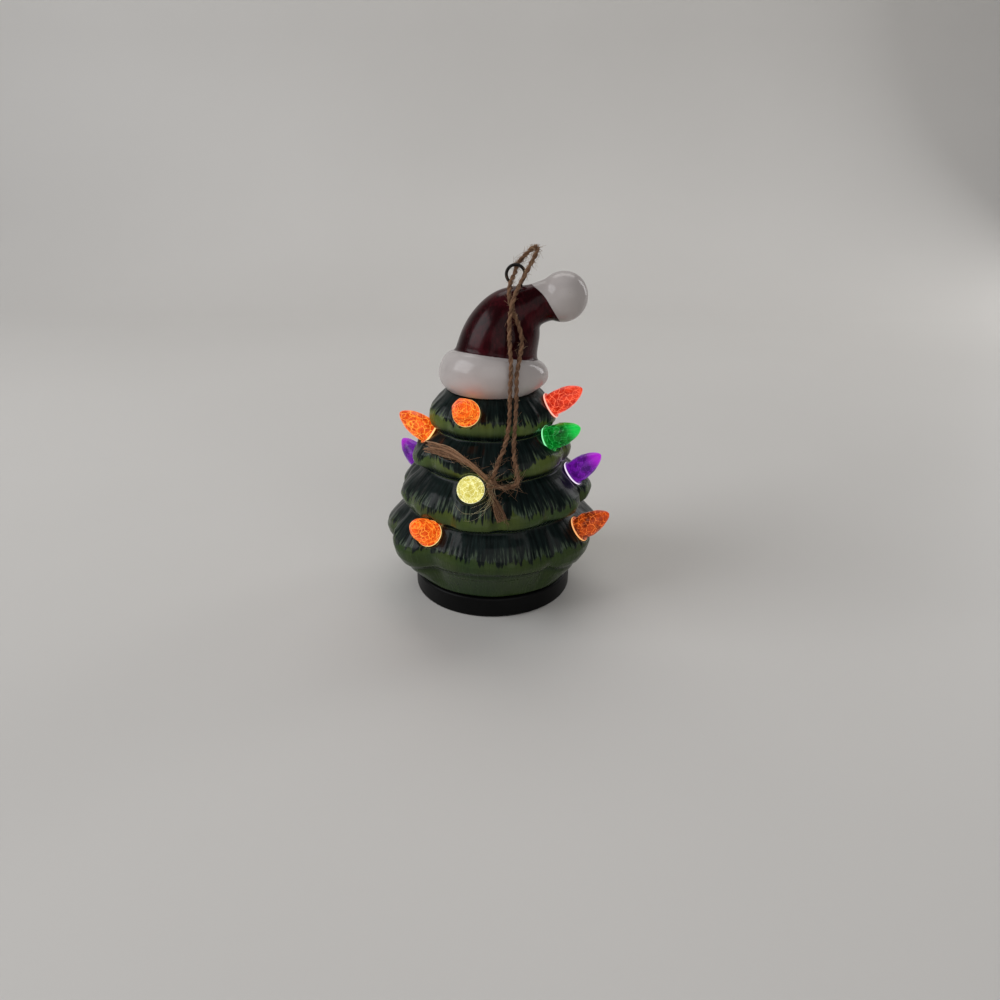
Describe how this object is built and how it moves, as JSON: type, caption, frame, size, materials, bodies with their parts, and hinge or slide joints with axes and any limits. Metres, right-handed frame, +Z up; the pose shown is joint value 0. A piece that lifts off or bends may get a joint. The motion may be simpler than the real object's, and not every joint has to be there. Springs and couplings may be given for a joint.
{
  "type": "light-up ceramic christmas tree",
  "caption": "Glazed ceramic Christmas tree in a bent Santa hat, with translucent light pegs, a wire eye with a jute loop, and a battery light base that it lifts off.",
  "frame": {"origin": "middle of the circle that the base stands on, on the table", "axes": "+Z up through the tree, front of the tree faces -Y, hat bends to +X"},
  "size_m": [0.0695, 0.0661, 0.1055],
  "materials": {
    "green_glaze": "gloss",
    "burgundy_glaze": "gloss",
    "white_glaze": "gloss",
    "black_plastic": "satin",
    "white_plastic": "satin",
    "black_wire": "satin",
    "jute": "fibrous",
    "steel": "plated",
    "rubber": "matte",
    "board": "solder mask",
    "lamp": "clear",
    "chip": "matte",
    "red_lead": "satin",
    "orange_peg": "translucent, lit from inside",
    "red_peg": "translucent, lit from inside",
    "green_peg": "translucent, lit from inside",
    "purple_peg": "translucent, lit from inside",
    "yellow_peg": "translucent, lit from inside"
  },
  "bodies": {
    "light_base": {"base_cup": "black_plastic", "light_turret": "white_plastic", "switch_body": "chip", "gasket": "rubber", "turret_screws": "steel", "circuit_board": "board", "led_1": "lamp", "led_2": "lamp", "led_3": "lamp", "led_legs": "steel", "resistor": "chip", "switch_lead_red": "red_lead", "switch_lead_black": "chip", "contact_leaf": "steel", "contact_plate": "steel", "cell_1": "steel", "cell_2": "steel", "cell_3": "steel"},
    "tree": {"tree_shell": "green_glaze", "hat_brim": "white_glaze", "hat_cone": "burgundy_glaze", "hat_pompom": "white_glaze", "hanger_loop": "black_wire", "twine_loop": "jute", "twine_knot": "jute", "twine_tail_left": "jute", "twine_tail_low": "jute"},
    "door": {"battery_door": "black_plastic"},
    "slider": {"switch_slider": "white_plastic"},
    "peg_row1_1": {"bulb_row1_1": "orange_peg"},
    "peg_row1_2": {"bulb_row1_2": "red_peg"},
    "peg_row1_3": {"bulb_row1_3": "green_peg"},
    "peg_row1_4": {"bulb_row1_4": "yellow_peg"},
    "peg_row2_1": {"bulb_row2_1": "orange_peg"},
    "peg_row2_2": {"bulb_row2_2": "green_peg"},
    "peg_row2_3": {"bulb_row2_3": "purple_peg"},
    "peg_row3_1": {"bulb_row3_1": "yellow_peg"},
    "peg_row3_2": {"bulb_row3_2": "purple_peg"},
    "peg_row3_3": {"bulb_row3_3": "red_peg"},
    "peg_row3_4": {"bulb_row3_4": "purple_peg"},
    "peg_row4_1": {"bulb_row4_1": "orange_peg"},
    "peg_row4_2": {"bulb_row4_2": "orange_peg"},
    "peg_row4_3": {"bulb_row4_3": "yellow_peg"},
    "peg_row4_4": {"bulb_row4_4": "green_peg"}
  },
  "joints": [
    {"name": "tree_lift", "type": "slide", "parent": "light_base", "child": "tree", "axis": [0, 0, 1], "range_m": [0, 0.025]},
    {"name": "battery_door_turn", "type": "hinge", "parent": "light_base", "child": "door", "pos_m": [0, 0.004, 0.0025], "axis": [0, 0, 1], "range_deg": [0, 60]},
    {"name": "switch_slide", "type": "slide", "parent": "light_base", "child": "slider", "axis": [1, 0, 0], "range_m": [0, 0.002]},
    {"name": "bulb_row1_1_pull", "type": "slide", "parent": "tree", "child": "peg_row1_1", "axis": [-0.1076, -0.8764, 0.4695], "range_m": [0, 0.01]},
    {"name": "bulb_row1_2_pull", "type": "slide", "parent": "tree", "child": "peg_row1_2", "axis": [0.8295, -0.1763, 0.5299], "range_m": [0, 0.01]},
    {"name": "bulb_row1_3_pull", "type": "slide", "parent": "tree", "child": "peg_row1_3", "axis": [0.5104, 0.6533, 0.5592], "range_m": [0, 0.01]},
    {"name": "bulb_row1_4_pull", "type": "slide", "parent": "tree", "child": "peg_row1_4", "axis": [-0.3504, 0.7514, 0.5592], "range_m": [0, 0.01]},
    {"name": "bulb_row2_1_pull", "type": "slide", "parent": "tree", "child": "peg_row2_1", "axis": [-0.7803, -0.1097, 0.6157], "range_m": [0, 0.01]},
    {"name": "bulb_row2_2_pull", "type": "slide", "parent": "tree", "child": "peg_row2_2", "axis": [0.7867, -0.4183, 0.454], "range_m": [0, 0.01]},
    {"name": "bulb_row2_3_pull", "type": "slide", "parent": "tree", "child": "peg_row2_3", "axis": [0.144, 0.8164, 0.5592], "range_m": [0, 0.01]},
    {"name": "bulb_row3_1_pull", "type": "slide", "parent": "tree", "child": "peg_row3_1", "axis": [-0.0466, -0.8898, 0.454], "range_m": [0, 0.01]},
    {"name": "bulb_row3_2_pull", "type": "slide", "parent": "tree", "child": "peg_row3_2", "axis": [0.7399, -0.1983, 0.6428], "range_m": [0, 0.01]},
    {"name": "bulb_row3_3_pull", "type": "slide", "parent": "tree", "child": "peg_row3_3", "axis": [0.204, 0.7612, 0.6157], "range_m": [0, 0.01]},
    {"name": "bulb_row3_4_pull", "type": "slide", "parent": "tree", "child": "peg_row3_4", "axis": [-0.6375, 0.4981, 0.5878], "range_m": [0, 0.01]},
    {"name": "bulb_row4_1_pull", "type": "slide", "parent": "tree", "child": "peg_row4_1", "axis": [-0.3577, -0.7021, 0.6157], "range_m": [0, 0.01]},
    {"name": "bulb_row4_2_pull", "type": "slide", "parent": "tree", "child": "peg_row4_2", "axis": [0.7737, -0.2365, 0.5878], "range_m": [0, 0.01]},
    {"name": "bulb_row4_3_pull", "type": "slide", "parent": "tree", "child": "peg_row4_3", "axis": [0.5065, 0.6037, 0.6157], "range_m": [0, 0.01]},
    {"name": "bulb_row4_4_pull", "type": "slide", "parent": "tree", "child": "peg_row4_4", "axis": [-0.5065, 0.6037, 0.6157], "range_m": [0, 0.01]}
  ]
}
